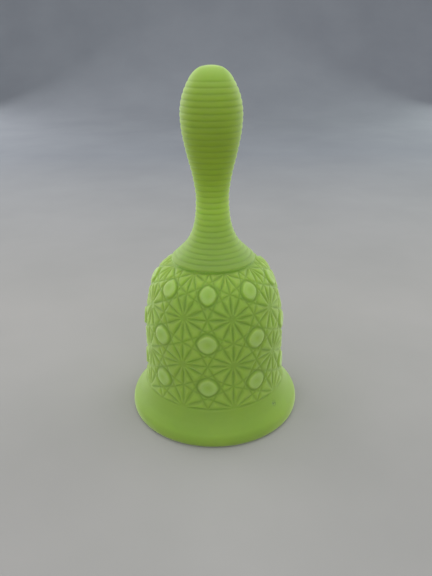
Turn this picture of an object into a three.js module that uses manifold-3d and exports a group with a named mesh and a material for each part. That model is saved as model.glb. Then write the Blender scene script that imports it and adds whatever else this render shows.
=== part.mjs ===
// A pressed-glass hand bell: a skirt with a flared mouth, a solid ringed handle pressed in one piece
// with it, and a metal drop clapper on a wire chain that hangs from a loop cemented into the crown.
// Millimetres, +Z up. The bell stands on its rim at z = 0 and its axis is the Z axis.
import * as THREE from 'three';
import { mergeVertices } from 'three/addons/utils/BufferGeometryUtils.js';
import Module from 'manifold-3d';

const wasm = await Module();
wasm.setup();

// Driving dimensions
const HEIGHT = 150.8; // rim to the top of the handle
const RIM_RADIUS = 38.9; // widest part of the rolled rim
const FOOT_OUTER = 37.4; // flat ring that the bell stands on
const FOOT_INNER = 35.2;
const COLLAR_RADIUS = 18; // crisp edge between the skirt and the handle
const COLLAR_HEIGHT = 73.2;
const CROWN_HEIGHT = 67; // inside of the skirt's crown
const SOCKET_RADIUS = 4.6; // blind socket in the crown, filled with cement
const SOCKET_TOP = 73.5;
const RING_START = 2; // from the collar to the first groove round the handle, along its surface
const RING_PITCH = 2.4;
const RING_DEPTH = 0.3;
const RING_COUNT = 32;
const GAP = 0.3; // between pieces that touch
const BELL_FACETS = 40;

const LOOP_WIRE = 1.2; // wire thickness of the loop in the crown
const LOOP_WIDTH = 4; // between the centre lines of its two legs
const LOOP_BOTTOM = 60.6; // centre of the wire at the bottom of the loop
const LOOP_LEG_TOP = 71.8;

const LINK_COUNT = 7;
const LINK_LENGTH = 6.4; // outside
const LINK_WIDTH = 4.2; // outside
const LINK_WIRE = 0.9;
const LINK_SEAM = 0.25; // where the ends of the wire meet
const LINK_RISE = LINK_LENGTH - LINK_WIRE; // between a link's top and bottom wires

const PIN_WIRE = 1;
const PIN_EYE_RADIUS = 1.6; // centre line of the eye
const PIN_HEAD_RADIUS = 1.9;
const PIN_HEAD_HEIGHT = 0.9;

const DROP_RADIUS = 5.8;
const DROP_LENGTH = 14;
const DROP_NECK = 1.7; // radius of the drop's top
const DROP_DROP = 0.6; // from the underside of the eye's wire to the drop

// Heights of the wires that the links hang on: the loop's, then each link's own bottom wire
const pivots = [LOOP_BOTTOM];
const tops = [];
for (let i = 0; i < LINK_COUNT; i += 1) {
  const wireAbove = i === 0 ? LOOP_WIRE : LINK_WIRE;
  tops.push(pivots[i] + (wireAbove + LINK_WIRE) / 2 + GAP);
  pivots.push(tops[i] - LINK_RISE);
}
const eyeCentre = pivots[LINK_COUNT] + (LINK_WIRE + PIN_WIRE) / 2 + GAP - PIN_EYE_RADIUS;
const dropTop = eyeCentre - PIN_EYE_RADIUS - PIN_WIRE / 2 - DROP_DROP;
const dropBottom = dropTop - DROP_LENGTH;

const glass = new THREE.MeshStandardMaterial({ color: 0x9ccb3b, roughness: 0.55, metalness: 0 });
const cement = new THREE.MeshStandardMaterial({ color: 0xd8d4c8, roughness: 0.9, metalness: 0 });
const wireMetal = new THREE.MeshStandardMaterial({ color: 0xb9bcc0, roughness: 0.35, metalness: 1 });
const dropMetal = new THREE.MeshStandardMaterial({ color: 0xc8cacd, roughness: 0.22, metalness: 1 });

// Radius and height pairs as 2-D points
function outlinePoints(pairs) {
  return pairs.map(([radius, height]) => new THREE.Vector2(radius, height));
}

// A closed outline of radius and height, turned about the Z axis
function turned(points, facets) {
  return new THREE.LatheGeometry(points, facets).rotateX(Math.PI / 2);
}

function toManifold(geometry) {
  const bare = geometry.clone();
  bare.deleteAttribute('normal');
  bare.deleteAttribute('uv');
  const merged = mergeVertices(bare, 1e-4);
  return new wasm.Manifold(new wasm.Mesh({
    numProp: 3,
    vertProperties: new Float32Array(merged.attributes.position.array),
    triVerts: new Uint32Array(merged.index.array),
  }));
}

function fromManifold(solid) {
  const mesh = solid.getMesh();
  const geometry = new THREE.BufferGeometry();
  geometry.setAttribute('position', new THREE.BufferAttribute(mesh.vertProperties, 3));
  geometry.setIndex(new THREE.BufferAttribute(mesh.triVerts, 1));
  geometry.computeVertexNormals();
  return geometry;
}

// Round wire of one thickness along a curve
function wire(curve, thickness, steps, sides = 8) {
  const corners = Array.from({ length: sides }, (_, i) => {
    const turn = (2 * Math.PI * i) / sides;
    return new THREE.Vector2(Math.cos(turn), Math.sin(turn)).multiplyScalar(thickness / 2);
  });
  return new THREE.ExtrudeGeometry(new THREE.Shape(corners), {
    steps, bevelEnabled: false, extrudePath: curve,
  });
}

// The whole bell as one outline: socket, inside of the skirt, foot, rim, outside and handle
function bellOutline() {
  const outline = new THREE.Path();
  outline.moveTo(0, SOCKET_TOP);
  outline.lineTo(SOCKET_RADIUS, SOCKET_TOP);
  outline.lineTo(SOCKET_RADIUS, CROWN_HEIGHT);
  outline.splineThru(outlinePoints([
    [10.5, 66.8], [16.4, 65.6], [21.4, 62.6], [24.6, 58.2], [26.4, 52.6], [27.4, 46],
    [27.8, 38], [27.9, 29], [28.3, 21], [29.4, 14], [31.6, 8.6], [34, 4.6], [FOOT_INNER, 0.8],
  ]));
  outline.lineTo(FOOT_INNER + 0.3, 0);
  outline.lineTo(FOOT_OUTER, 0);
  outline.bezierCurveTo(38.4, 0.2, RIM_RADIUS, 1.6, RIM_RADIUS, 3.6);
  outline.bezierCurveTo(RIM_RADIUS, 5.2, 38.3, 6.3, 37.3, 7.2);
  outline.splineThru(outlinePoints([
    [34.8, 10], [32.9, 14], [31.7, 20], [31.2, 29], [31.2, 38], [30.9, 47],
    [29.7, 53.5], [28.3, 59.5], [26.1, 65.2], [22.6, 69.4], [17.4, 72.2],
  ]));
  outline.lineTo(17.3, 72.9);
  outline.lineTo(COLLAR_RADIUS, COLLAR_HEIGHT);
  for (const point of handlePoints()) outline.lineTo(point.x, point.y);
  return outline.getPoints(1);
}

// Up the handle: a groove and a crest for each ring, then a smooth top
function handlePoints() {
  const line = new THREE.SplineCurve(outlinePoints([
    [COLLAR_RADIUS, COLLAR_HEIGHT + 0.5], [15.4, 76.1], [11.3, 80.5], [8.75, 85.6], [7.5, 91],
    [7.05, 96.5], [7.05, 101.3], [8.3, 109.3], [10.45, 118.1], [12.15, 127], [12.5, 134],
    [11.6, 139.5], [9.8, 144], [7.3, 147.9], [4.6, 150.1], [2, 150.7], [0, HEIGHT],
  ]));
  const length = line.getLength();
  const points = [line.getPointAt(0)];
  for (let i = 0; i < RING_COUNT; i += 1) {
    const groove = (RING_START + i * RING_PITCH) / length;
    const along = line.getTangentAt(groove);
    const inward = new THREE.Vector2(-along.y, along.x).multiplyScalar(RING_DEPTH);
    points.push(line.getPointAt(groove).add(inward));
    points.push(line.getPointAt(groove + RING_PITCH / 2 / length));
  }
  const last = (RING_START + (RING_COUNT - 0.5) * RING_PITCH) / length;
  for (const share of [0.4, 0.75]) points.push(line.getPointAt(last + (1 - last) * share));
  points.push(new THREE.Vector2(0, HEIGHT));
  return points;
}

// U-shaped wire, its legs up in the cement and its bend hanging in the XZ plane
function loopLine() {
  const bend = LOOP_WIDTH / 2;
  const points = [new THREE.Vector3(-bend, 0, LOOP_LEG_TOP)];
  for (let i = 0; i <= 8; i += 1) {
    const turn = Math.PI + (Math.PI * i) / 8;
    points.push(new THREE.Vector3(
      bend * Math.cos(turn), 0, LOOP_BOTTOM + bend + bend * Math.sin(turn)));
  }
  points.push(new THREE.Vector3(bend, 0, LOOP_LEG_TOP));
  return new THREE.CatmullRomCurve3(points, false, 'centripetal');
}

// Centre line of a link: two half circles and two straight sides, open at the seam in one side.
// It starts at the seam and is measured by its length.
class LinkLine extends THREE.Curve {
  getPoint(t, target = new THREE.Vector3()) {
    const side = LINK_LENGTH - LINK_WIDTH;
    const bend = (LINK_WIDTH - LINK_WIRE) / 2;
    const arc = Math.PI * bend;
    let s = LINK_SEAM / 2 + t * (2 * side + 2 * arc - LINK_SEAM);
    if (s < side / 2) return target.set(bend, 0, s);
    s -= side / 2;
    if (s < arc) return target.set(bend * Math.cos(s / bend), 0, side / 2 + bend * Math.sin(s / bend));
    s -= arc;
    if (s < side) return target.set(-bend, 0, side / 2 - s);
    s -= side;
    if (s < arc) return target.set(-bend * Math.cos(s / bend), 0, -side / 2 - bend * Math.sin(s / bend));
    return target.set(bend, 0, s - arc - side / 2);
  }
}

// Straight up the drop, then once round the eye in the XZ plane
function pinLine(bottom) {
  const points = [new THREE.Vector3(0, 0, bottom), new THREE.Vector3(0, 0, (bottom + dropTop) / 2)];
  points.push(new THREE.Vector3(0, 0, dropTop));
  const turns = 12;
  for (let i = 0; i < turns; i += 1) {
    const turn = -Math.PI / 2 + (2 * Math.PI * (i + 0.6)) / (turns + 0.8);
    points.push(new THREE.Vector3(
      PIN_EYE_RADIUS * Math.cos(turn), 0, eyeCentre + PIN_EYE_RADIUS * Math.sin(turn)));
  }
  return new THREE.CatmullRomCurve3(points, false, 'centripetal');
}

function named(name, geometry, material) {
  const mesh = new THREE.Mesh(geometry, material);
  mesh.name = name;
  return mesh;
}

function makeBell() {
  return named('bell_glass', turned(bellOutline(), BELL_FACETS), glass);
}

// Cement plug with a slightly domed underside, cut out around the legs of the loop
function makeCement() {
  const radius = SOCKET_RADIUS - GAP;
  const outline = new THREE.Path();
  outline.moveTo(0, CROWN_HEIGHT - 1.2);
  outline.quadraticCurveTo(radius * 0.8, CROWN_HEIGHT - 1.2, radius, CROWN_HEIGHT);
  outline.lineTo(radius, SOCKET_TOP - GAP);
  outline.lineTo(0, SOCKET_TOP - GAP);
  const plug = toManifold(turned(outline.getPoints(4), 24));
  const legs = toManifold(wire(loopLine(), LOOP_WIRE + 2 * GAP, 36));
  return named('crown_cement', fromManifold(plug.subtract(legs)), cement);
}

function makeLoop() {
  return named('hanger_loop', wire(loopLine(), LOOP_WIRE, 36), wireMetal);
}

// Links lie by turns in the YZ and the XZ plane, so each one threads the one above it
function makeLink(index) {
  const link = named(`chain_link_${index + 1}`, wire(new LinkLine(), LINK_WIRE, 24), wireMetal);
  link.rotation.z = index % 2 === 0 ? Math.PI / 2 : 0;
  link.position.z = tops[index] - LINK_RISE / 2;
  return link;
}

// Headed pin: the eye and shank in one wire, with a flat head under the drop
function makePin() {
  const headTop = dropBottom - GAP;
  const shank = toManifold(wire(pinLine(headTop - PIN_HEAD_HEIGHT / 2), PIN_WIRE, 44));
  const head = new THREE.CylinderGeometry(
    PIN_HEAD_RADIUS, PIN_HEAD_RADIUS, PIN_HEAD_HEIGHT, 16).rotateX(Math.PI / 2);
  head.translate(0, 0, headTop - PIN_HEAD_HEIGHT / 2);
  return named('clapper_pin', fromManifold(shank.add(toManifold(head))), wireMetal);
}

// Drop-shaped weight with a hole along its axis for the pin
function makeDrop() {
  const bore = PIN_WIRE / 2 + GAP;
  const outline = new THREE.Path();
  outline.moveTo(bore, dropBottom);
  outline.lineTo(DROP_NECK, dropBottom);
  outline.bezierCurveTo(
    DROP_RADIUS * 0.8, dropBottom + 0.4, DROP_RADIUS, dropBottom + 3,
    DROP_RADIUS, dropBottom + DROP_RADIUS);
  outline.bezierCurveTo(
    DROP_RADIUS, dropBottom + DROP_RADIUS + 4, DROP_NECK + 0.5, dropTop - 4, DROP_NECK, dropTop);
  outline.lineTo(bore, dropTop);
  outline.lineTo(bore, dropBottom);
  return named('clapper_drop', turned(outline.getPoints(6), 24), dropMetal);
}

const bell = new THREE.Group();
bell.add(makeBell(), makeCement(), makeLoop());
for (let i = 0; i < LINK_COUNT; i += 1) bell.add(makeLink(i));
bell.add(makePin(), makeDrop());

export default bell;
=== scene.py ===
"""Looks of a pressed satin-glass hand bell with a ringed handle and a daisy-and-button pattern.

Metres, +Z up, the bell stands on z = 0 with its axis on Z. Shapes are laid out in millimetres and
turned into metres when a mesh is made.
"""

from math import cos, hypot, pi, radians, sin

import bpy
import numpy as np
from mathutils import Matrix, Vector
from mathutils.geometry import delaunay_2d_cdt


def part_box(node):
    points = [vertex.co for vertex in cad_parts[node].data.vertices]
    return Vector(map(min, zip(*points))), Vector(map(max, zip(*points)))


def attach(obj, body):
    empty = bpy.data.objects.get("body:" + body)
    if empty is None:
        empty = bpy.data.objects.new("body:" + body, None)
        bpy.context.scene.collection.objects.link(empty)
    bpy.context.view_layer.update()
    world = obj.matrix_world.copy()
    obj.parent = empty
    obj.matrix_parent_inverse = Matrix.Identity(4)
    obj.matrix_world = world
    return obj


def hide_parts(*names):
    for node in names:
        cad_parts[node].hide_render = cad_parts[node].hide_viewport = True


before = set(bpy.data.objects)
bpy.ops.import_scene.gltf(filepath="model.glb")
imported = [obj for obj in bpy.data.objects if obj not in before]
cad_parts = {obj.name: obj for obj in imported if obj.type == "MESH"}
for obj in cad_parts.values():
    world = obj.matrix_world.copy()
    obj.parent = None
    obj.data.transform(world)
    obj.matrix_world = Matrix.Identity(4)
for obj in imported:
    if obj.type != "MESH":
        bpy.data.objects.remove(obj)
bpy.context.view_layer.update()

MM = 0.001

CAD_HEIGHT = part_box("bell_glass")[1].z / MM

# The bell's outline: radius and height of points that a smooth curve runs through
INSIDE = [
    (4.6, 67.0), (10.5, 66.8), (16.4, 65.6), (21.4, 62.6), (24.6, 58.2), (26.4, 52.6), (27.4, 46.0),
    (27.8, 38.0), (27.9, 29.0), (28.3, 21.0), (29.4, 14.0), (31.6, 8.6), (34.0, 4.6), (35.1, 1.6),
    (35.6, 0.3), (36.1, 0.0),
]
OUTSIDE = [
    (37.3, 0.0), (38.35, 0.45), (38.8, 1.5), (38.85, 3.4), (38.3, 5.6), (37.0, 7.4), (34.9, 10.0),
    (32.9, 14.0), (31.7, 20.0), (31.2, 29.0), (31.2, 38.0), (30.9, 47.0), (29.7, 53.5),
    (28.3, 59.5), (26.1, 65.2), (22.6, 69.4), (17.6, 72.1),
]
COLLAR_FADE = (72.3, 72.7)  # heights between which the skirt's colour gives way to the handle's
COLLAR = [(17.5, 72.25), (17.5, 72.5), (17.62, 72.62), (17.88, 72.66), (18.0, 72.8), (18.03, 73.3)]
HANDLE = [
    (17.95, 73.7), (15.4, 76.1), (11.3, 80.5), (8.75, 85.6), (7.5, 91.0), (7.05, 96.5),
    (7.05, 101.3), (8.3, 109.3), (10.45, 118.1), (12.15, 127.0), (12.5, 134.0), (11.6, 139.5),
    (9.8, 144.0), (7.3, 147.9), (4.7, 149.95), (2.2, CAD_HEIGHT - 0.16), (0.5, CAD_HEIGHT - 0.01),
]
SOCKET_TOP = 73.5
INSIDE_ROWS = 76
FLARE_ROWS = 44
FLARE_GAP = 0.55  # between the flare's last row and the pattern's first

# Rings round the handle
RING_START = 2.0  # from the collar to the first groove, along the surface
RING_PITCH = 2.4
RING_DEPTH = 0.22
NECK_RING_DEPTH = 0.28  # the grooves are deepest on the neck
NECK_HEIGHT = 96
NECK_REACH = 14  # how far above and below that they stay deeper
RING_SHARPNESS = 3.5  # narrow grooves and broad crests
RING_COUNT = 32
ROWS_PER_RING = 8
LAST_ROW_GAP = 0.2  # no row of points lies closer than this to the top

# Pressed pattern: each cell has one button, and a daisy at each of its corners
CELLS_ROUND = 9
CELLS_HIGH = 3
FIRST_DAISY = radians(-25)
PATTERN_FOOT = 15.3  # height of the pattern's lower edge
PATTERN_FADE = 0.05  # of a cell: the relief fades out over this at the collar

# Depths and rises in the pattern, over the bell's mean surface
GROOVE_DEPTH = 0.45
MOAT = -0.75 * GROOVE_DEPTH  # foot of a button's side
PETAL_RISE = 0.22
BUTTON_RISE = 0.55
BUTTON_DISH = 0.3

# Widths and distances in the pattern, as shares of a cell
CUT_LINES = ((1, 0), (0, 1), (1, 2), (1, -2), (2, 1), (2, -1))  # a*u + b*v = whole number
GROOVE_HALF = 0.042  # half width of a groove, before it widens and narrows
GROOVE_WIDENS = 0.22  # a groove widens up to this distance from its daisy's middle
GROOVE_NARROWS = 0.28  # and narrows from here
NARROWING = 0.17  # over this length
PETAL_SLOPE = 0.045
OCTAGON = 0.2236  # from a button's middle to the lines round it
BUTTON_HALF = 0.205
BUTTON_SIDE = 0.07  # width of a button's rounded side
BUTTON_RING_HALF = 0.034  # the cut ring round a button is 1.2 times this to each side
DISH_RADIUS = 0.085
PIT_RADIUS = 0.055  # smooth middle of a daisy, without cuts in its mesh
PIT_REACH = 0.105  # from here inwards the relief evens out into it
PIT_SLOPE = 0.06

# Rows of points in the mesh of one cell, as shares of a cell
CELL_GRID = 16
GROOVE_ROWS = (-1.7, -1, -0.45, 0, 0.45, 1, 1.7)  # in half widths of a groove
BUTTON_CIRCLES = ((0.03, 12), (0.065, 20), (0.1, 24), (0.135, 32), (0.165, 40), (0.19, 40))
PIT_CIRCLES = ((PIT_RADIUS, 24), (0.5 * PIT_RADIUS, 12))  # radius and count of points
CELL_CORNERS = ((0, 0), (1, 0), (1, 1), (0, 1))
ON_EDGE = 1e-4  # a point closer than this to an edge is on it
MERGED = 2e-4  # points closer to each other than this become one
SHORTEST = 1e-3  # of a stretch of groove
NO_AREA = 1e-10
TINY = 1e-9  # allowance for rounding

CHIP_PLACE = (26.5, -22.0, 10.9)  # a small old chip on the flare

SKIRT_FACETS = 144
HANDLE_FACETS = 88

LINK_COUNT = 7
LINK_SEAM = 0.16  # gap between the ends of a link's wire
LINK_STEPS = 72
WIRE_FACETS = 16


# ---------------------------------------------------------------- curves and meshes

class Line:
    """A smooth curve through points (a centripetal Catmull-Rom spline), measured along its length."""

    def __init__(self, points, fine=40):
        p = np.array(points, float)
        knots = np.concatenate([[0], np.cumsum(np.sqrt(np.linalg.norm(np.diff(p, axis=0), axis=1)))])
        ends = np.concatenate([[2 * p[0] - p[1]], p, [2 * p[-1] - p[-2]]])
        t = np.concatenate([[knots[0] - (knots[1] - knots[0])], knots,
                            [knots[-1] + (knots[-1] - knots[-2])]])
        made = []
        for i in range(1, len(ends) - 2):
            x = np.linspace(t[i], t[i + 1], fine, endpoint=False)[:, None]
            a1, a2, a3 = (((t[k + 1] - x) * ends[k] + (x - t[k]) * ends[k + 1]) / (t[k + 1] - t[k])
                          for k in (i - 1, i, i + 1))
            b1 = ((t[i + 1] - x) * a1 + (x - t[i - 1]) * a2) / (t[i + 1] - t[i - 1])
            b2 = ((t[i + 2] - x) * a2 + (x - t[i]) * a3) / (t[i + 2] - t[i])
            made.append(((t[i + 1] - x) * b1 + (x - t[i]) * b2) / (t[i + 1] - t[i]))
        self.points = np.concatenate(made + [p[-1:]])
        steps = np.linalg.norm(np.diff(self.points, axis=0), axis=1)
        self.lengths = np.concatenate([[0], np.cumsum(steps)])
        self.length = self.lengths[-1]

    def at(self, s):
        """Points at lengths s along the curve."""
        return np.stack([np.interp(s, self.lengths, self.points[:, k])
                         for k in range(self.points.shape[1])], -1)

    def outward(self, s):
        """Unit normals of an outline that runs upwards, away from the axis."""
        near = 0.4  # mm before and after each place
        along = self.at(np.asarray(s) + near) - self.at(np.asarray(s) - near)
        along /= np.linalg.norm(along, axis=-1, keepdims=True)
        return np.stack([along[..., 1], -along[..., 0]], -1)


def turn(radius, height, angle):
    """Points in millimetres at an angle round the axis: 0 is -Y and the angle grows towards +X."""
    return np.stack([radius * np.sin(angle), -radius * np.cos(angle),
                     height + 0 * np.asarray(angle)], -1)


class Skin:
    """Vertices and faces of one closed mesh, gathered ring by ring."""

    def __init__(self):
        self.points = []
        self.faces = []
        self.painted_shade = []
        self.count = 0

    def add(self, points, painted_shade=0.5):
        """Vertices with a painted shade from 0, darkest at the foot of a groove, to 1, lightest on a
        crest.
        """
        first = self.count
        self.points.append(np.asarray(points, float).reshape(-1, 3))
        self.count += len(self.points[-1])
        self.painted_shade.append(np.broadcast_to(painted_shade, len(self.points[-1])))
        return np.arange(first, self.count)

    def ring(self, radius, height, facets, painted_shade=0.5):
        return self.add(turn(radius, height, even_angles(facets)), painted_shade)

    def rings(self, outline, facets, painted_shades=None):
        """A ring for each point of an outline, joined to each other. Gives the first and the last."""
        painted_shades = [0.5] * len(outline) if painted_shades is None else painted_shades
        made = [self.ring(*place, facets, painted_shade) for place, painted_shade in zip(outline, painted_shades)]
        for low, high in zip(made[:-1], made[1:]):
            self.join(low, high)
        return made[0], made[-1]

    def join(self, low, high):
        """Four-sided faces between two rings of one count, seen from outside when high is above."""
        after_low, after_high = np.roll(low, -1), np.roll(high, -1)
        self.faces += np.stack([low, after_low, after_high, high], 1).tolist()

    def zip(self, low, low_angle, high, high_angle):
        """Triangles between two rings of any counts."""
        a, b = np.argsort(low_angle), np.argsort(high_angle)
        low, low_angle = low[a], np.append(low_angle[a], low_angle[a][0] + 2 * pi)
        high, high_angle = high[b], np.append(high_angle[b], high_angle[b][0] + 2 * pi)
        i = j = 0
        while i < len(low) or j < len(high):
            here, there = int(low[i % len(low)]), int(high[j % len(high)])
            go_low = j == len(high) or (i < len(low) and low_angle[i + 1] <= high_angle[j + 1])
            if go_low:
                self.faces.append([here, int(low[(i + 1) % len(low)]), there])
                i += 1
            else:
                self.faces.append([here, int(high[(j + 1) % len(high)]), there])
                j += 1

    def cap(self, ring, point, up):
        """A fan from a ring to one point."""
        middle = int(self.add([point])[0])
        for here, after in zip(ring.tolist(), np.roll(ring, -1).tolist()):
            self.faces.append([here, after, middle] if up else [after, here, middle])

    def piece(self, name, material, body, node):
        """Makes the finished object, riding on its body in place of its CAD node."""
        mesh = bpy.data.meshes.new(name)
        mesh.from_pydata((np.concatenate(self.points) * MM).tolist(), [], self.faces)
        mesh.validate()
        mesh.shade_smooth()
        # the painted shade goes onto the mesh, where the glass's colour reads it
        mesh.attributes.new("painted_shade", "FLOAT", "POINT").data.foreach_set(
            "value", np.concatenate(self.painted_shade).astype(np.float32))
        mesh.materials.append(material)
        made = bpy.data.objects.new(name, mesh)
        bpy.context.scene.collection.objects.link(made)
        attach(made, body)
        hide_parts(node)


def even_angles(facets):
    """Angles of the corners of a ring, in radians."""
    return 2 * pi * np.arange(facets) / facets


# ---------------------------------------------------------------- the pressed pattern

def line_distance(u, v, a, b):
    """Distance to the nearest of the lines a*u + b*v = whole number, in cells."""
    share = a * u + b * v
    return np.abs(share - np.round(share)) / hypot(a, b)


def cuts(u, v, out):
    """Heights of the grooves and of the petals between them, at distances out from the daisies."""
    nearest = np.min([line_distance(u, v, a, b) for a, b in CUT_LINES], axis=0)
    # each cut is widest across the petals and narrows towards the daisy's middle and its tip
    slim = np.clip(out / GROOVE_WIDENS, 0.3, 1)
    slim = slim * (1.2 - 0.45 * np.clip((out - GROOVE_NARROWS) / NARROWING, 0, 1))
    groove = -GROOVE_DEPTH * slim * np.clip(1 - nearest / (GROOVE_HALF * slim), 0, 1)
    past = np.clip(nearest - GROOVE_HALF * slim, 0, None)
    return groove, PETAL_RISE * (1 - np.exp(-past / PETAL_SLOPE))


def buttons(du, dv):
    """Heights of the buttons and of the rings round them, and where their octagons are.

    du and dv are places from a button's middle, in cells.
    """
    across = np.array([np.abs(a * du + b * dv) / hypot(a, b) for a, b in CUT_LINES[2:]])
    rounded = (across ** 8).sum(axis=0) ** 0.125
    share = np.clip((BUTTON_HALF - rounded) / BUTTON_SIDE, 0, 1)
    button = MOAT + (BUTTON_RISE - MOAT) * np.sqrt(1 - (1 - share) ** 2)
    button -= BUTTON_DISH * np.exp(-(np.hypot(du, dv) / DISH_RADIUS) ** 2)
    ring = -GROOVE_DEPTH * np.clip(1.2 - np.abs(rounded - OCTAGON) / BUTTON_RING_HALF, 0, 1)
    return button, ring, across.max(axis=0) < OCTAGON


def relief(u, v):
    """Height of the pattern over the bell's mean surface, in millimetres."""
    out = np.hypot(u - np.round(u), v - np.round(v))
    groove, petal = cuts(u, v, out)
    button, ring, in_octagon = buttons(u - np.floor(u) - 0.5, v - np.floor(v) - 0.5)
    height = np.where(in_octagon, np.maximum(groove, button), groove + petal)
    height = np.where(ring < 0, np.minimum(height, ring), height)
    pit = np.clip((PIT_REACH - out) / PIT_SLOPE, 0, 1)
    pit = pit * pit * (3 - 2 * pit)
    return height * (1 - pit) - 0.5 * GROOVE_DEPTH * pit


def clipped(a, b, c):
    """The stretches of the line a*u + b*v = c in the unit square, clear of the daisies' pits."""
    size = hypot(a, b)
    foot, along = np.array([a, b]) * c / size ** 2, np.array([-b, a]) / size
    low, high = -9.0, 9.0  # well past the square, both ways
    for k in range(2):
        if abs(along[k]) < TINY:
            if not -TINY <= foot[k] <= 1 + TINY:
                return []
            continue
        ends = sorted([(0 - foot[k]) / along[k], (1 - foot[k]) / along[k]])
        low, high = max(low, ends[0]), min(high, ends[1])
    if high - low < ON_EDGE:
        return []
    stretches = [(low, high)]
    for corner in CELL_CORNERS:
        to = np.array(corner) - foot
        t, off = float(to @ along), float(abs(to @ np.array([-along[1], along[0]])))
        if off >= PIT_RADIUS:
            continue
        half = (PIT_RADIUS ** 2 - off ** 2) ** 0.5
        kept = []
        for x, y in stretches:
            kept += [(x, min(y, t - half)), (max(x, t + half), y)]
        stretches = [(x, y) for x, y in kept if y - x > SHORTEST]
    return [(foot + x * along, foot + y * along) for x, y in stretches]


def cell_mesh():
    """Points and triangles of one cell, with edges along the grooves and their shoulders."""
    points, edges, known = [], [], {}

    def place(u, v):
        """A point's number. A point on an edge of the cell is also put on the opposite edge."""
        point = [min(max(u, 0.0), 1.0), min(max(v, 0.0), 1.0)]
        for k in (0, 1):
            if min(point[k], 1 - point[k]) < ON_EDGE:
                point[k] = round(point[k])
                point[1 - k] = round(point[1 - k], 3)
        twins = [point]
        for k in (0, 1):
            if point[k] in (0, 1):
                twins += [[1 - p if i == k else p for i, p in enumerate(twin)] for twin in twins]
        for twin in reversed(twins):
            key = (round(twin[0], 4), round(twin[1], 4))
            if key not in known:
                known[key] = len(points)
                points.append(Vector(twin))
        return known[key]

    corners = [place(*corner) for corner in CELL_CORNERS]
    edges += zip(corners, corners[1:] + corners[:1])
    for a, b in CUT_LINES:
        for whole in range(-4, 6):
            for side in GROOVE_ROWS:
                for p, q in clipped(a, b, whole + side * GROOVE_HALF * hypot(a, b)):
                    edges.append((place(*p), place(*q)))
    for i in range(CELL_GRID + 1):
        for j in range(CELL_GRID + 1):
            place(i / CELL_GRID, j / CELL_GRID)
    for radius, count in BUTTON_CIRCLES:
        for angle in even_angles(count):
            place(0.5 + radius * cos(angle), 0.5 + radius * sin(angle))
    for u, v in CELL_CORNERS:
        for radius, count in PIT_CIRCLES:
            for angle in even_angles(count):
                x, y = u + radius * cos(angle), v + radius * sin(angle)
                if -TINY < x < 1 + TINY and -TINY < y < 1 + TINY:
                    place(x, y)
    made = delaunay_2d_cdt(points, edges, [], 0, MERGED)
    uv = np.array([tuple(p) for p in made[0]])
    match_edges(uv)
    return uv, facing_out(uv, np.array([list(f) for f in made[2]]))


def match_edges(uv):
    """Gives opposite edges of the cell the same places, so that cells join."""
    uv[np.abs(uv) < ON_EDGE] = 0
    uv[np.abs(uv - 1) < ON_EDGE] = 1
    for axis in (0, 1):
        other = 1 - axis
        near, far = np.flatnonzero(uv[:, axis] == 0), np.flatnonzero(uv[:, axis] == 1)
        near, far = near[np.argsort(uv[near, other])], far[np.argsort(uv[far, other])]
        if len(near) != len(far):
            raise ValueError(f"the cell's edges don't match: {len(near)} and {len(far)} points")
        uv[far, other] = uv[near, other]


def facing_out(uv, triangles):
    """The cell's triangles, all turned one way and without those that have no area."""
    a, b, c = (uv[triangles[:, k]] for k in range(3))
    turned = (b - a)[:, 0] * (c - a)[:, 1] - (b - a)[:, 1] * (c - a)[:, 0]
    triangles[turned < 0] = triangles[turned < 0][:, ::-1]
    return triangles[np.abs(turned) > NO_AREA]


def all_cells():
    """Points and triangles of all the cells, joined to each other and round the bell."""
    uv, triangles = cell_mesh()
    every_uv, every_triangle = [], []
    for column in range(CELLS_ROUND):
        for row in range(CELLS_HIGH):
            every_triangle.append(triangles + len(uv) * len(every_uv))
            every_uv.append(uv + [column, row])
    every_uv = np.concatenate(every_uv)
    every_uv[:, 0] %= CELLS_ROUND
    keys = np.round(every_uv * 1e5).astype(np.int64)
    _, first, where = np.unique(keys, axis=0, return_index=True, return_inverse=True)
    a, b, c = where.reshape(-1)[np.concatenate(every_triangle)].T
    distinct = (a != b) & (b != c) & (c != a)
    return every_uv[first], np.stack([a, b, c], 1)[distinct]


def add_pattern(skin, outline):
    """The patterned wall. Gives its lowest and highest edges, each as vertices and angles."""
    heights = outline.points[:, 1]
    start = float(np.interp(PATTERN_FOOT, heights, outline.lengths))
    cell_height = (outline.length - start) / CELLS_HIGH
    uv, triangles = all_cells()
    s = start + uv[:, 1] * cell_height
    fade = np.clip((CELLS_HIGH - uv[:, 1]) / PATTERN_FADE, 0, 1)
    rise = relief(uv[:, 0], uv[:, 1]) * fade
    places = outline.at(s) + outline.outward(s) * rise[:, None]
    angle = FIRST_DAISY + uv[:, 0] * 2 * pi / CELLS_ROUND
    # painted shade and light: darkest in the cuts, lighter on the petals, lightest on the buttons
    painted_shade = np.clip(rise + GROOVE_DEPTH, 0, 1)
    vertices = skin.add(turn(places[:, 0], places[:, 1], angle), painted_shade)
    skin.faces += vertices[triangles].tolist()
    edges = []
    for row in (0, CELLS_HIGH):
        on_edge = np.flatnonzero(uv[:, 1] == row)
        edges.append((vertices[on_edge], angle[on_edge] % (2 * pi)))
    return start, edges


# ---------------------------------------------------------------- the glass

def ring_groove(s):
    """Share of the rings' depth at lengths s from the collar: 1 in each groove, 0 on each crest."""
    ring = (s - RING_START) / RING_PITCH
    wave = 0.5 + 0.5 * np.cos(2 * pi * ring)
    before_first, after_last = (ring + 0.5) / 0.3, RING_COUNT - 0.4 - ring
    return wave ** RING_SHARPNESS * np.clip(before_first, 0, 1) * np.clip(after_last, 0, 1)


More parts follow.
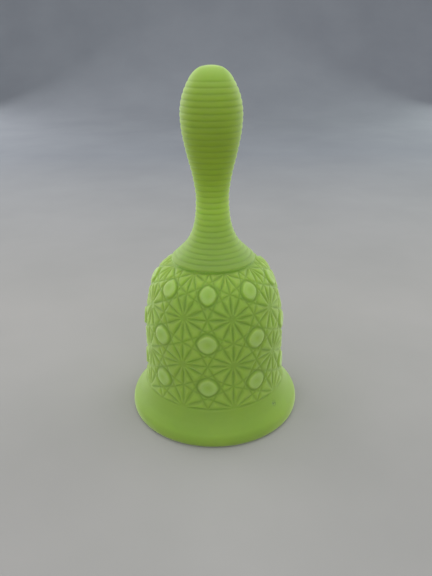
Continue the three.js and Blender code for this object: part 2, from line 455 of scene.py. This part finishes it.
def ringed_handle():
    """The handle's outline with its grooves, and the painted shade at each of its points, darker in
    the grooves.
    """
    handle = Line(HANDLE)
    s = np.arange(0, handle.length, RING_PITCH / ROWS_PER_RING)
    s = np.append(s[s < handle.length - LAST_ROW_GAP], handle.length)
    near_neck = np.exp(-((handle.at(s)[:, 1] - NECK_HEIGHT) / NECK_REACH) ** 2)
    depth = (RING_DEPTH + (NECK_RING_DEPTH - RING_DEPTH) * near_neck) * ring_groove(s)
    # painted shade: the deeper a groove, the darker its colour
    return handle.at(s) - handle.outward(s) * depth[:, None], 0.4 - 0.8 * depth


def make_glass(material):
    """The glass as one closed skin: socket, down the inside, round the rim and up to the top."""
    skin = Skin()
    inside, outside = Line(INSIDE), Line(OUTSIDE)

    # socket and inside wall, downwards, then the flat foot
    down = inside.at(np.linspace(0, inside.length, INSIDE_ROWS))
    socket = skin.ring(INSIDE[0][0], SOCKET_TOP, SKIRT_FACETS)
    first, foot = skin.rings(down, SKIRT_FACETS)
    skin.join(socket, first)
    skin.cap(socket, (0, 0, SOCKET_TOP), up=False)

    # rolled rim and flare up to the pattern, the patterned wall, and the collar
    start, ((low, low_angle), (high, high_angle)) = add_pattern(skin, outside)
    flare_shape = outside.at(np.linspace(0, start - FLARE_GAP, FLARE_ROWS))
    # the flare gets a fixed value of 0.3, which colours it darker than the plain glass
    rim, flare = skin.rings(flare_shape, SKIRT_FACETS, [0.3] * len(flare_shape))
    skin.join(foot, rim)
    skin.zip(flare, even_angles(SKIRT_FACETS), low, low_angle)
    under, lip = skin.rings(COLLAR, SKIRT_FACETS)
    skin.zip(high, high_angle, under, even_angles(SKIRT_FACETS))

    handle, painted_shades = ringed_handle()
    bottom, top = skin.rings(handle, HANDLE_FACETS, painted_shades)
    skin.zip(lip, even_angles(SKIRT_FACETS), bottom, even_angles(HANDLE_FACETS))
    skin.cap(top, (0, 0, CAD_HEIGHT), up=True)
    skin.piece("pressed_glass_bell", material, "bell", "bell_glass")


# ---------------------------------------------------------------- hanger, chain and clapper

def add_tube(skin, path, radius):
    """Round wire along a path of points in millimetres, with slightly rounded ends."""
    path = np.asarray(path, float)
    along = np.gradient(path, axis=0)
    along /= np.linalg.norm(along, axis=1, keepdims=True)
    normal = np.cross(along[0], [0.3, 0.5, 0.8])
    turn_by = even_angles(WIRE_FACETS)[:, None]
    rings = []
    for place, forward in zip(path, along):
        normal = normal - forward * (normal @ forward)
        normal /= np.linalg.norm(normal)
        side = np.cross(forward, normal)
        rings.append(skin.add(place + radius * (np.cos(turn_by) * normal + np.sin(turn_by) * side)))
    for low, high in zip(rings[:-1], rings[1:]):
        skin.join(low, high)
    add_end(skin, rings[0], path[0], -along[0] * radius, up=False)
    add_end(skin, rings[-1], path[-1], along[-1] * radius, up=True)


def add_end(skin, ring, middle, out, up):
    """Closes a wire past its last ring; out points out of it and is as long as its radius."""
    around = np.concatenate(skin.points)[ring]
    small = skin.add(middle + 0.72 * (around - middle) + 0.16 * out)
    if up:
        skin.join(ring, small)
    else:
        skin.join(small, ring)
    skin.cap(small, middle + 0.2 * out, up)


def centre_of(node):
    """Middle and size of a CAD node, in millimetres."""
    low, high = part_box(node)
    return (low + high) / 2 / MM, (high - low) / MM


def oval_path(centre, length, width, wire, wide_axis):
    """Centre line of a link: two half circles and two straight sides, open at its seam."""
    bend = (width - wire) / 2
    side = length - width
    whole = 2 * side + 2 * pi * bend
    path = []
    for s in np.linspace(LINK_SEAM / 2, whole - LINK_SEAM / 2, LINK_STEPS):
        if s < side / 2:
            across, up = bend, s
        elif s < side / 2 + pi * bend:
            turn_by = (s - side / 2) / bend
            across, up = bend * cos(turn_by), side / 2 + bend * sin(turn_by)
        elif s < 1.5 * side + pi * bend:
            across, up = -bend, side / 2 - (s - side / 2 - pi * bend)
        elif s < 1.5 * side + 2 * pi * bend:
            turn_by = (s - 1.5 * side - pi * bend) / bend
            across, up = -bend * cos(turn_by), -side / 2 - bend * sin(turn_by)
        else:
            across, up = bend, s - whole
        place = np.array(centre, float)
        place[wide_axis] += across
        place[2] += up
        path.append(place)
    return path


def make_links(material):
    """Oval links, each the size of its CAD node and turned the same way."""
    for number in range(1, LINK_COUNT + 1):
        node = f"chain_link_{number}"
        centre, size = centre_of(node)
        wide_axis = 0 if size.x > size.y else 1
        wire = min(size.x, size.y)
        skin = Skin()
        add_tube(skin, oval_path(centre, size.z, max(size.x, size.y), wire, wide_axis), wire / 2)
        skin.piece(f"link_{number}_wire", material, f"link_{number}", node)


def make_loop(material):
    """U-shaped wire with its legs in the cement."""
    low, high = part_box("hanger_loop")
    low, high = low / MM, high / MM
    wire = high.y - low.y
    bend = (high.x - low.x - wire) / 2
    middle = low.z + wire / 2 + bend
    leg_foot = middle + 0.4
    path = [(-bend, 0, z) for z in np.linspace(high.z, leg_foot, 12)]
    path += [(bend * cos(a), 0, middle + bend * sin(a)) for a in np.linspace(pi, 2 * pi, 32)]
    path += [(bend, 0, z) for z in np.linspace(leg_foot, high.z, 12)]
    skin = Skin()
    add_tube(skin, path, wire / 2)
    skin.piece("hanger_wire", material, "bell", "hanger_loop")


def make_cement(material):
    """Plug with an uneven underside that bulges down and creeps a little down the loop's legs."""
    low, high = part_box("crown_cement")
    loop_low, loop_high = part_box("hanger_loop")
    bottom, top = low.z / MM, high.z / MM
    radius = high.x / MM + 0.1  # a little wider than the CAD plug, and still clear of the glass
    loop = (loop_high - loop_low) / MM
    leg = (loop.x - loop.y) / 2  # from the axis to the middle of a leg
    skin = Skin()
    facets = 64
    rings = [skin.ring(radius, top, facets)]
    shares = [1.0, 0.99, 0.96, 0.9, 0.82, 0.74, 0.66, 0.58, 0.5, 0.42, 0.34, 0.26, 0.18, 0.1]
    for share in shares:
        angle = even_angles(facets)
        x, y = radius * share * np.sin(angle), -radius * share * np.cos(angle)
        z = bottom + 1.1 * share ** 4 + 0.05 * np.sin(2.3 * x + 1) * np.cos(2.9 * y)
        for side in (-leg, leg):
            z = z - 0.35 * np.exp(-((x - side) ** 2 + y ** 2) / 0.8)
        rings.append(skin.add(np.stack([x, y, z], -1)))
    for above, below in zip(rings[:-1], rings[1:]):
        skin.join(below, above)
    skin.cap(rings[0], (0, 0, top), up=True)
    skin.cap(rings[-1], (0, 0, bottom), up=False)
    skin.piece("cement_plug", material, "bell", "crown_cement")


def make_pin(material):
    """Wire pin: head under the drop, straight shank and an eye bent round at its top."""
    low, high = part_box("clapper_pin")
    low, high = low / MM, high / MM
    wire = 1.0
    eye = (high.x - low.x - wire) / 2
    centre = high.z - wire / 2 - eye
    neck = centre - eye - 1.3
    shank = [(0, 0, z) for z in np.linspace(low.z + 0.5, neck, 16)]
    bend = [(-0.25 * sin(pi * k / 4), 0, neck + 0.32 * k) for k in range(1, 4)]
    turns = np.linspace(0.12, 2 * pi - 0.5, 40)
    round_eye = [(eye * sin(a), 0, centre - eye * cos(a)) for a in turns]
    skin = Skin()
    add_tube(skin, Line(shank + bend + round_eye, fine=2).points, wire / 2)
    head = [(0.5, 0.0), (1.5, 0.02), (1.8, 0.2), (1.88, 0.45), (1.8, 0.7), (1.5, 0.88), (0.5, 0.9)]
    shape = Line([(r, low.z + z) for r, z in head], fine=6).points
    bottom, top = skin.rings(shape, 48)
    skin.cap(bottom, (0, 0, low.z), up=False)
    skin.cap(top, (0, 0, shape[-1][1]), up=True)
    skin.piece("clapper_pin_wire", material, "clapper", "clapper_pin")


def make_drop(material):
    """Drop-shaped weight, with a small turned shoulder at its neck and a hole for the pin."""
    low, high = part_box("clapper_drop")
    bottom, top, radius = low.z / MM, high.z / MM, high.x / MM
    neck, bore = 1.7, 0.62
    skin = Skin()
    outline = [
        (neck * 0.9, bottom), (neck * 1.35, bottom + 0.12), (radius * 0.72, bottom + 1.2),
        (radius * 0.94, bottom + 3.2), (radius, bottom + 5.6), (radius * 0.93, bottom + 7.9),
        (radius * 0.72, bottom + 10.1), (radius * 0.47, bottom + 11.9), (neck * 1.3, bottom + 13.0),
        (neck * 1.12, top - 0.55), (neck * 1.12, top - 0.2), (neck * 0.9, top),
    ]
    first, last = skin.rings(Line(outline, fine=6).points, 72)
    hole_low, hole_high = skin.rings([(bore, top), (bore, (top + bottom) / 2), (bore, bottom)], 72)
    skin.join(last, hole_low)
    skin.join(hole_high, first)
    skin.piece("clapper_drop_plated", material, "clapper", "clapper_drop")


# ---------------------------------------------------------------- materials

def new_material(name, **values):
    """A material with values for its shader's sockets, and its node tree and shader."""
    material = bpy.data.materials.new(name)
    material.use_nodes = True
    shader = material.node_tree.nodes["Principled BSDF"]
    for socket, value in values.items():
        shader.inputs[socket.replace("_", " ")].default_value = value
    return material, material.node_tree, shader


def object_noise(tree, scale, detail=3.0, roughness=0.55, stretch=(1, 1, 1)):
    """Noise fixed to the piece, scale in features per metre."""
    place = tree.nodes.new("ShaderNodeTexCoord")
    mapping = tree.nodes.new("ShaderNodeMapping")
    mapping.inputs["Scale"].default_value = stretch
    noise = tree.nodes.new("ShaderNodeTexNoise")
    noise.inputs["Scale"].default_value = scale
    noise.inputs["Detail"].default_value = detail
    noise.inputs["Roughness"].default_value = roughness
    tree.links.new(place.outputs["Object"], mapping.inputs["Vector"])
    tree.links.new(mapping.outputs["Vector"], noise.inputs["Vector"])
    return noise.outputs["Fac"]


def ramp(tree, value, stops):
    """Colours or grey values at places from 0 to 1."""
    node = tree.nodes.new("ShaderNodeValToRGB")
    while len(node.color_ramp.elements) < len(stops):
        node.color_ramp.elements.new(0.5)
    for element, (place, colour) in zip(node.color_ramp.elements, stops):
        element.position = place
        grey = not hasattr(colour, "__len__")
        element.color = (colour, colour, colour, 1) if grey else (*colour, 1)
    tree.links.new(value, node.inputs["Fac"])
    return node.outputs["Color"]


def mixed(tree, share, first, second, blend="MIX"):
    """A mix of two colours; share is a number or an output."""
    node = tree.nodes.new("ShaderNodeMix")
    node.data_type = "RGBA"
    node.blend_type = blend
    if isinstance(share, (int, float)):
        node.inputs[0].default_value = share
    else:
        tree.links.new(share, node.inputs[0])
    tree.links.new(first, node.inputs[6])
    tree.links.new(second, node.inputs[7])
    return node.outputs[2]


def between(tree, value, low, high):
    """A value's place from 0 at low to 1 at high."""
    node = tree.nodes.new("ShaderNodeMapRange")
    node.inputs["From Min"].default_value = low
    node.inputs["From Max"].default_value = high
    tree.links.new(value, node.inputs["Value"])
    return node.outputs["Result"]


def bump(tree, shader, value, strength, distance, after=None):
    """Fine relief of a material, distance in metres, on top of the relief that after gives."""
    node = tree.nodes.new("ShaderNodeBump")
    node.inputs["Strength"].default_value = strength
    node.inputs["Distance"].default_value = distance
    tree.links.new(value, node.inputs["Height"])
    if after is not None:
        tree.links.new(after, node.inputs["Normal"])
    tree.links.new(node.outputs["Normal"], shader.inputs["Normal"])
    return node.outputs["Normal"]


def chip_mask(tree, place):
    """A ragged spot, 0.8 in its middle and 0 outside it."""
    away = tree.nodes.new("ShaderNodeVectorMath")
    away.operation = "DISTANCE"
    away.inputs[1].default_value = [part * MM for part in CHIP_PLACE]
    tree.links.new(place, away.inputs[0])
    near = between(tree, away.outputs["Value"], 1.7 * MM, 0.5 * MM)
    ragged = ramp(tree, object_noise(tree, 1800, 2), [(0.35, 0.0), (0.6, 0.8)])
    return mixed(tree, 1.0, near, ragged, "MULTIPLY")


def glass_colour(tree, painted_shade, height):
    """Painted shade darkens the cuts of the skirt and the rings and painted light brightens the
    crests; up the handle, painted shade makes it olive where it is thick and painted light makes its
    neck and top paler.
    """
    # painted shade in the cuts, painted light on the petals and most of all on the buttons
    skirt = ramp(tree, painted_shade, [
        (0.0, (0.29, 0.47, 0.042)), (0.5, (0.4, 0.612, 0.068)), (0.75, (0.46, 0.69, 0.11)),
        (1.0, (0.49, 0.725, 0.18))])
    up_handle = between(tree, height, SOCKET_TOP * MM, CAD_HEIGHT * MM)
    # painted light and shade by height: darker olive on the thick knob and at the cone's foot, paler
    # at the neck and the top
    handle_painted_light = ramp(tree, up_handle, [
        (0.0, (0.33, 0.51, 0.072)), (0.28, (0.47, 0.7, 0.07)), (0.45, (0.36, 0.53, 0.022)),
        (0.62, (0.32, 0.465, 0.014)), (0.85, (0.36, 0.53, 0.03)), (1.0, (0.45, 0.67, 0.09))])
    # painted shade: the handle's colour darkens in its ring grooves
    depth = ramp(tree, painted_shade, [(0.0, 0.78), (0.4, 1.0)])
    handle = mixed(tree, 1.0, handle_painted_light, depth, "MULTIPLY")
    on_handle = between(tree, height, *(edge * MM for edge in COLLAR_FADE))
    colour = mixed(tree, on_handle, skirt, handle)
    cloud = ramp(tree, object_noise(tree, 45, 3), [(0.3, 0.42), (0.7, 0.58)])
    return mixed(tree, 0.35, colour, cloud, "OVERLAY")


def satin_glass():
    """Acid-etched lime glass: milky, with a fine grain and a pale sheen towards its edges."""
    material, tree, shader = new_material(
        "satin_glass", IOR=1.5, Transmission_Weight=0.3, Subsurface_Weight=1.0,
        Subsurface_Scale=0.009, Subsurface_Radius=(0.85, 1.0, 0.35), Sheen_Weight=1.0,
        Sheen_Roughness=0.42, Sheen_Tint=(0.8, 1.0, 0.48, 1), Specular_IOR_Level=0.4)
    painted_shade = tree.nodes.new("ShaderNodeAttribute")
    painted_shade.attribute_name = "painted_shade"
    place = tree.nodes.new("ShaderNodeTexCoord")
    axes = tree.nodes.new("ShaderNodeSeparateXYZ")
    tree.links.new(place.outputs["Object"], axes.inputs["Vector"])
    colour = glass_colour(tree, painted_shade.outputs["Fac"], axes.outputs["Z"])
    chip = chip_mask(tree, place.outputs["Object"])
    # painted shade: the chip is coloured darker, most of all in its middle, for the shadow in its
    # small pit
    chip_painted_shade = ramp(tree, chip, [(0.0, (0.16, 0.28, 0.1)), (1.0, (0.08, 0.16, 0.05))])
    tree.links.new(mixed(tree, chip, colour, chip_painted_shade), shader.inputs["Base Color"])
    grain = object_noise(tree, 2600, 2)
    tree.links.new(ramp(tree, grain, [(0.3, 0.5), (0.7, 0.62)]), shader.inputs["Roughness"])
    soft = bump(tree, shader, object_noise(tree, 420, 3), 0.1, 0.0004)
    fine = bump(tree, shader, grain, 0.12, 0.00012, soft)
    bump(tree, shader, ramp(tree, chip, [(0.0, 1.0), (0.8, 0.0)]), 0.6, 0.0003, fine)
    return material


def plated_wire():
    """Dull plated wire, darker where it is worn."""
    material, tree, shader = new_material("plated_wire", Metallic=1.0)
    worn = object_noise(tree, 900, 4)
    colour = ramp(tree, worn, [(0.35, (0.36, 0.35, 0.32)), (0.6, (0.6, 0.6, 0.6))])
    tree.links.new(colour, shader.inputs["Base Color"])
    tree.links.new(ramp(tree, worn, [(0.3, 0.46), (0.7, 0.26)]), shader.inputs["Roughness"])
    bump(tree, shader, object_noise(tree, 3500, 2), 0.15, 0.00004)
    return material


def plated_drop():
    """Bright plating with fine scuffs along the drop."""
    material, tree, shader = new_material("plated_drop", Metallic=1.0)
    worn = object_noise(tree, 320, 4)
    colour = ramp(tree, worn, [(0.3, (0.5, 0.49, 0.47)), (0.65, (0.72, 0.72, 0.73))])
    tree.links.new(colour, shader.inputs["Base Color"])
    scuffs = object_noise(tree, 1500, 3, 0.6, (1, 1, 0.12))
    tree.links.new(ramp(tree, scuffs, [(0.35, 0.3), (0.7, 0.12)]), shader.inputs["Roughness"])
    bump(tree, shader, scuffs, 0.08, 0.00004)
    return material


def old_cement():
    """Rough, mottled and without shine."""
    material, tree, shader = new_material("old_cement", Specular_IOR_Level=0.25)
    lumps = object_noise(tree, 700, 5, 0.65)
    colour = ramp(tree, lumps, [(0.3, (0.42, 0.4, 0.34)), (0.7, (0.68, 0.66, 0.6))])
    tree.links.new(colour, shader.inputs["Base Color"])
    tree.links.new(ramp(tree, lumps, [(0.3, 0.95), (0.7, 0.82)]), shader.inputs["Roughness"])
    bump(tree, shader, object_noise(tree, 2400, 4, 0.7), 0.5, 0.00012)
    return material


# ---------------------------------------------------------------- camera, floor and lights

def make_camera():
    """Stands where the bell's outline falls as it does in the photograph."""
    down, lean = 24.47, 0.6  # degrees
    camera = bpy.data.cameras.new("camera")
    camera.sensor_width = 36
    camera.lens = 35
    camera.clip_start = 0.01
    holder = bpy.data.objects.new("camera", camera)
    pitch = Matrix.Rotation(radians(90 - down), 4, "X")
    roll = Matrix.Rotation(radians(-lean), 4, "Z")
    place = Matrix.Translation((1.1 * MM, -228.5 * MM, 161.7 * MM))
    holder.matrix_world = place @ pitch @ roll
    bpy.context.scene.collection.objects.link(holder)
    bpy.context.scene.camera = holder


def make_floor():
    """A pale sweep: flat under the bell and rising far behind it."""
    material, tree, shader = new_material("pale_floor", Roughness=0.8, Specular_IOR_Level=0.2)
    noise = object_noise(tree, 9, 4)
    near = ramp(tree, noise, [(0.3, (0.4, 0.385, 0.36)), (0.7, (0.44, 0.42, 0.395))])
    far = ramp(tree, noise, [(0.3, (0.26, 0.27, 0.29)), (0.7, (0.29, 0.3, 0.32))])
    place = tree.nodes.new("ShaderNodeTexCoord")
    axes = tree.nodes.new("ShaderNodeSeparateXYZ")
    tree.links.new(place.outputs["Object"], axes.inputs["Vector"])
    tone = mixed(tree, between(tree, axes.outputs["Y"], 0.1, 0.6), near, far)
    tree.links.new(tone, shader.inputs["Base Color"])
    half, back, bend, top = 4.0, 0.9, 0.5, 1.8
    shape = [(-half, 0.0), (back, 0.0)]
    shape += [(back + bend * sin(a), bend - bend * cos(a)) for a in np.linspace(0, pi / 2, 16)[1:]]
    shape.append((back + bend, top))
    points = [(x, y, z) for y, z in shape for x in (-half, half)]
    faces = [(2 * i, 2 * i + 1, 2 * i + 3, 2 * i + 2) for i in range(len(shape) - 1)]
    mesh = bpy.data.meshes.new("floor")
    mesh.from_pydata(points, [], faces)
    mesh.shade_smooth()
    mesh.materials.append(material)
    floor = bpy.data.objects.new("floor", mesh)
    bpy.context.scene.collection.objects.link(floor)


def soft_light(name, place, target, size, power, colour):
    """A round area light, aimed at a point."""
    light = bpy.data.lights.new(name, "AREA")
    light.shape = "DISK"
    light.size = size
    light.energy = power
    light.color = colour
    holder = bpy.data.objects.new(name, light)
    holder.location = place
    holder.rotation_euler = (Vector(target) - Vector(place)).to_track_quat("-Z", "Y").to_euler()
    bpy.context.scene.collection.objects.link(holder)


def make_lights():
    """Soft daylight from above, both sides and behind the camera, and a pale world."""
    middle = (0, 0, 0.07)
    soft_light("overhead", (0.05, 0.1, 0.9), middle, 0.9, 2.1, (1.0, 1.0, 1.0))
    soft_light("left", (-0.75, 0.65, 0.3), middle, 1.0, 5.2, (0.97, 0.98, 1.0))
    soft_light("right", (0.75, 0.65, 0.25), middle, 1.0, 4.0, (0.92, 1.0, 0.96))
    soft_light("front", (-0.1, -0.9, 0.35), middle, 1.1, 1.5, (1.0, 1.0, 1.0))
    world = bpy.data.worlds.new("room")
    world.use_nodes = True
    sky = world.node_tree.nodes["Background"]
    sky.inputs["Color"].default_value = (0.8, 0.84, 0.9, 1)
    sky.inputs["Strength"].default_value = 0.75
    bpy.context.scene.world = world
    bpy.context.scene.view_settings.view_transform = "Standard"


make_camera()
make_floor()
make_lights()
make_glass(satin_glass())
wire_material = plated_wire()
make_loop(wire_material)
make_links(wire_material)
make_pin(wire_material)
make_drop(plated_drop())
make_cement(old_cement())
